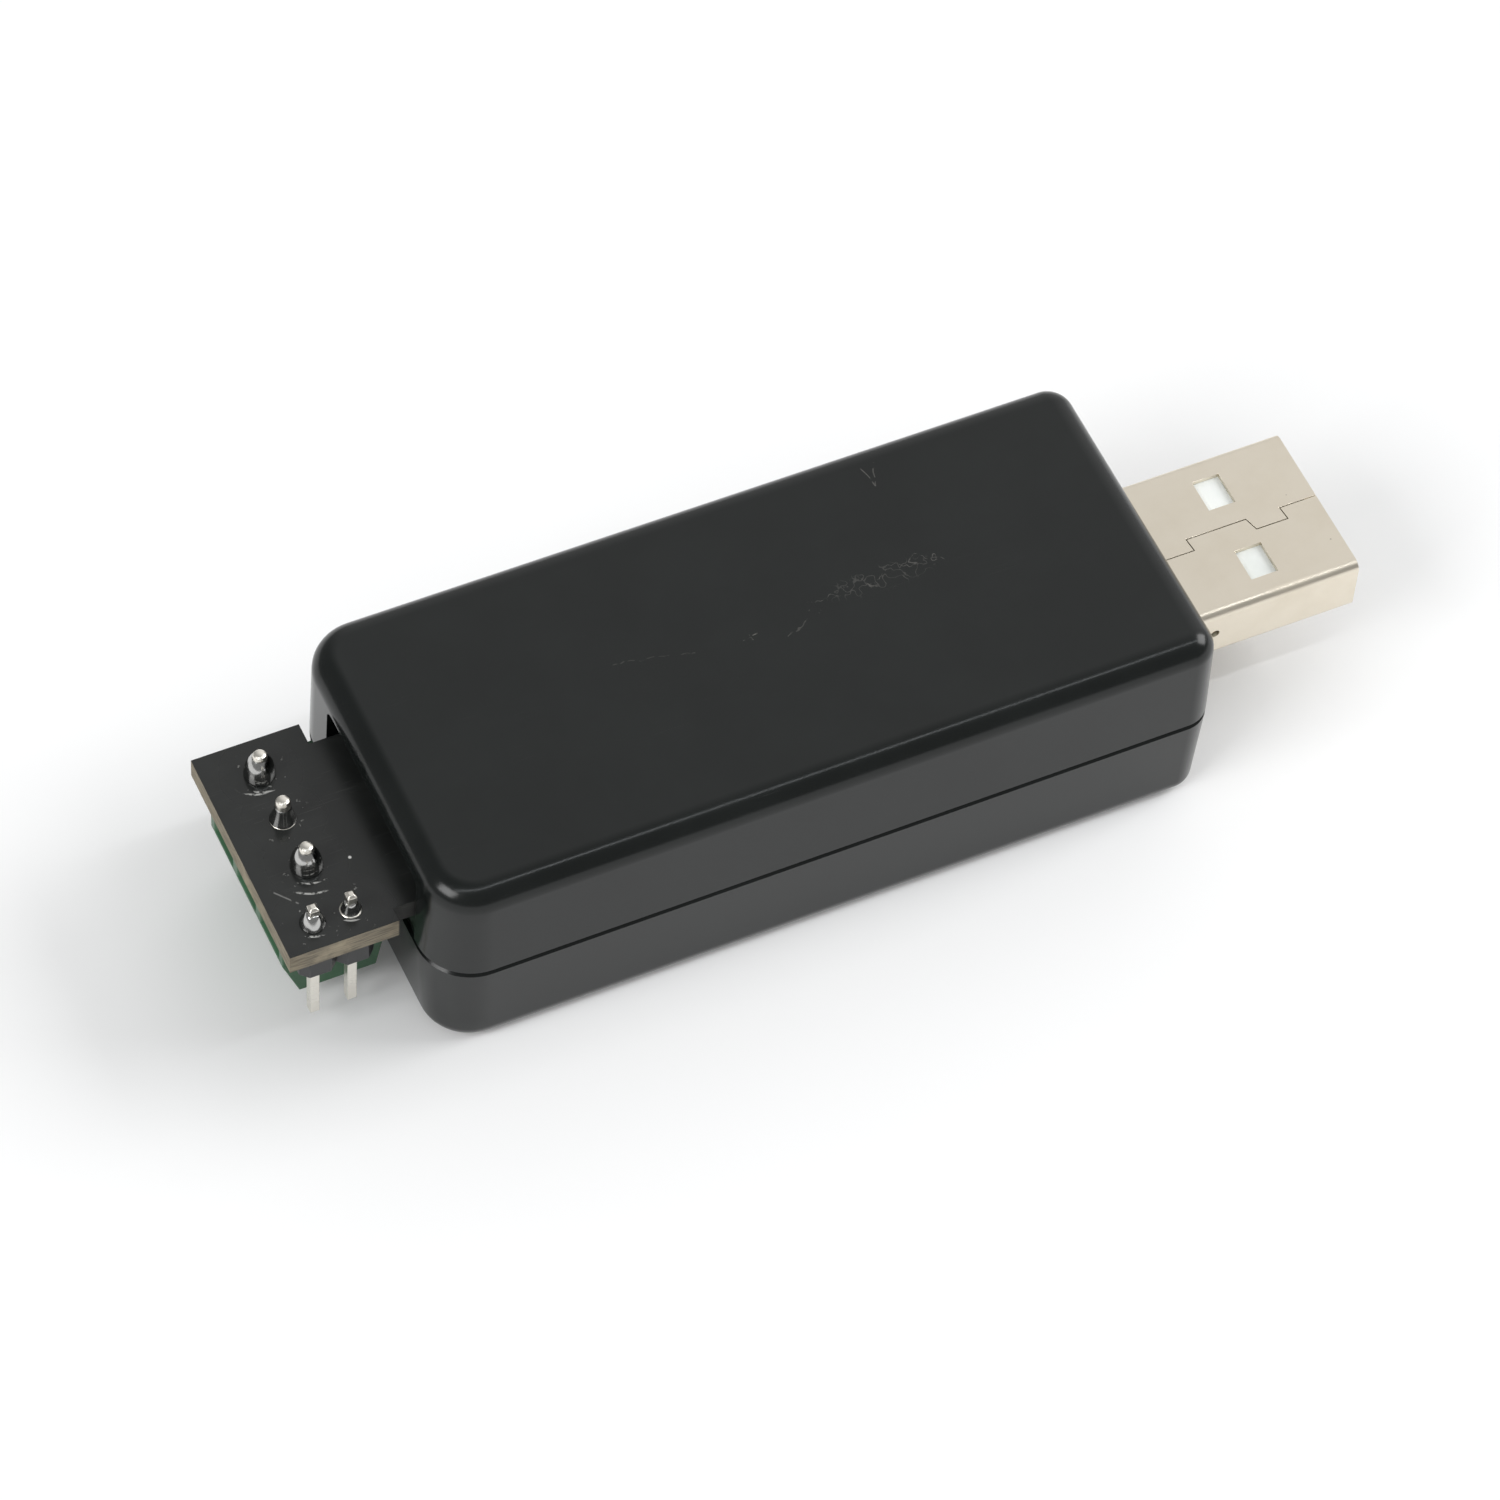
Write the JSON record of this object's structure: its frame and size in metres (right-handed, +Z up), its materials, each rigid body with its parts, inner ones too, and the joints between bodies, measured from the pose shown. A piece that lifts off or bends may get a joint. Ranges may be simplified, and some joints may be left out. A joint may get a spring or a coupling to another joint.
{
  "type": "usb bus adapter stick",
  "caption": "Stick-shaped USB interface adapter: two-part plastic case, folded metal plug at one end, board tongue with screw terminal block and pin header at the other.",
  "frame": {"origin": "middle of the footprint, on the surface that the case lies on", "axes": "+X towards the plug, +Z up, the board's soldered face up"},
  "size_m": [0.0764, 0.024, 0.016],
  "materials": {
    "case_plastic": "satin gloss moulded black",
    "board_mask": "black solder mask on glass fibre board",
    "plug_nickel": "nickel-plated sheet, satin",
    "white_plastic": "white moulded",
    "contact_gold": "thin gold plate",
    "solder": "bright tin solder",
    "terminal_green": "green moulded nylon",
    "screw_steel": "zinc-plated steel",
    "clamp_nickel": "nickel-plated",
    "pin_tin": "tinned",
    "black_plastic": "dark grey moulded",
    "chip_epoxy": "moulded epoxy",
    "crystal_can": "drawn metal can",
    "lamp_lens": "clear resin",
    "ceramic_tan": "fired ceramic",
    "resistor_black": "glazed film",
    "fuse_green": "moulded polymer"
  },
  "bodies": {
    "adapter": {"top_shell": "case_plastic", "bottom_shell": "case_plastic", "circuit_board": "board_mask", "usb_plug_shell": "plug_nickel", "usb_plug_insulator": "white_plastic", "usb_contacts": "contact_gold", "usb_contact_solder_joints": "solder", "usb_shell_solder_joints": "solder", "terminal_housing": "terminal_green", "terminal_pins": "pin_tin", "terminal_solder_joints": "solder", "header_base": "black_plastic", "header_pins": "pin_tin", "header_solder_joints": "solder", "microcontroller": "chip_epoxy", "microcontroller_leads": "pin_tin", "bus_transceiver": "chip_epoxy", "bus_transceiver_leads": "pin_tin", "voltage_regulator": "chip_epoxy", "regulator_leads": "pin_tin", "protection_diode": "chip_epoxy", "protection_diode_leads": "pin_tin", "crystal": "crystal_can", "power_led": "lamp_lens", "activity_led": "lamp_lens", "ceramic_capacitors": "ceramic_tan", "chip_resistors": "resistor_black", "resettable_fuse": "fuse_green", "chip_end_caps": "pin_tin"},
    "screw_1": {"terminal_screw_1": "screw_steel"},
    "screw_2": {"terminal_screw_2": "screw_steel"},
    "screw_3": {"terminal_screw_3": "screw_steel"},
    "clamp_1": {"wire_clamp_1": "clamp_nickel"},
    "clamp_2": {"wire_clamp_2": "clamp_nickel"},
    "clamp_3": {"wire_clamp_3": "clamp_nickel"}
  },
  "joints": [
    {"name": "screw_1_turn", "type": "hinge", "parent": "adapter", "child": "screw_1", "pos_m": [-0.03365, -0.00249, 0.0024], "axis": [0, 0, 1], "range_deg": [0, 1710]},
    {"name": "screw_2_turn", "type": "hinge", "parent": "adapter", "child": "screw_2", "pos_m": [-0.03365, 0.00132, 0.0024], "axis": [0, 0, 1], "range_deg": [0, 1710]},
    {"name": "screw_3_turn", "type": "hinge", "parent": "adapter", "child": "screw_3", "pos_m": [-0.03365, 0.00513, 0.0024], "axis": [0, 0, 1], "range_deg": [0, 1710]},
    {"name": "clamp_1_rise", "type": "slide", "parent": "adapter", "child": "clamp_1", "axis": [0, 0, -1], "range_m": [0, 0.0019]},
    {"name": "clamp_2_rise", "type": "slide", "parent": "adapter", "child": "clamp_2", "axis": [0, 0, -1], "range_m": [0, 0.0019]},
    {"name": "clamp_3_rise", "type": "slide", "parent": "adapter", "child": "clamp_3", "axis": [0, 0, -1], "range_m": [0, 0.0019]}
  ],
  "couplings": [
    {"joint": "screw_1_turn", "follows": "clamp_1_rise", "rad_per_m": 15708},
    {"joint": "screw_2_turn", "follows": "clamp_2_rise", "rad_per_m": 15708},
    {"joint": "screw_3_turn", "follows": "clamp_3_rise", "rad_per_m": 15708}
  ]
}
